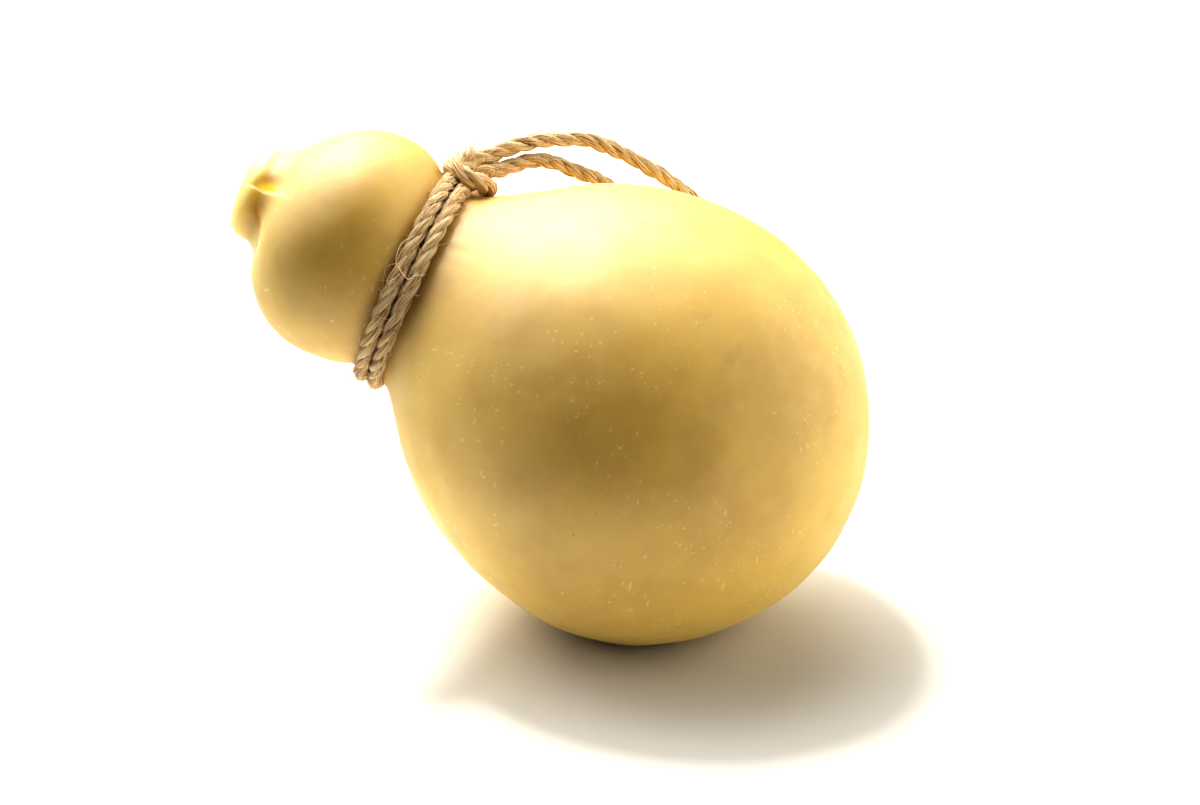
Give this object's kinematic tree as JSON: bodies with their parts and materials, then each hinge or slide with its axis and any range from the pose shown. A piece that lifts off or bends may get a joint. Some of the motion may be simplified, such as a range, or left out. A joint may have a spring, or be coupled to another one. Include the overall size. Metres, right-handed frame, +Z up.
{
  "type": "caciocavallo cheese",
  "caption": "Whole caciocavallo cheese lying on its round belly, with a tied neck, small head and pinched nub, and a natural cord hitched round the neck that ends in a hanging loop.",
  "frame": {"origin": "middle of the flat spot that the cheese rests on, straight under the belly's centre", "axes": "+X along the floor from the raised head to the belly's round end, +Z up, +Y to the side on which the hanging loop lies"},
  "size_m": [0.2164, 0.1551, 0.1625],
  "materials": {
    "rind": "smooth waxy rind, pale straw yellow to gold",
    "cord": "three-strand natural fibre cord, matt and hairy"
  },
  "bodies": {
    "root": {"cheese": "rind", "neck_turn_head_side": "cord", "neck_turn_belly_side": "cord", "hitch_knot": "cord", "hanging_loop": "cord"}
  },
  "joints": []
}
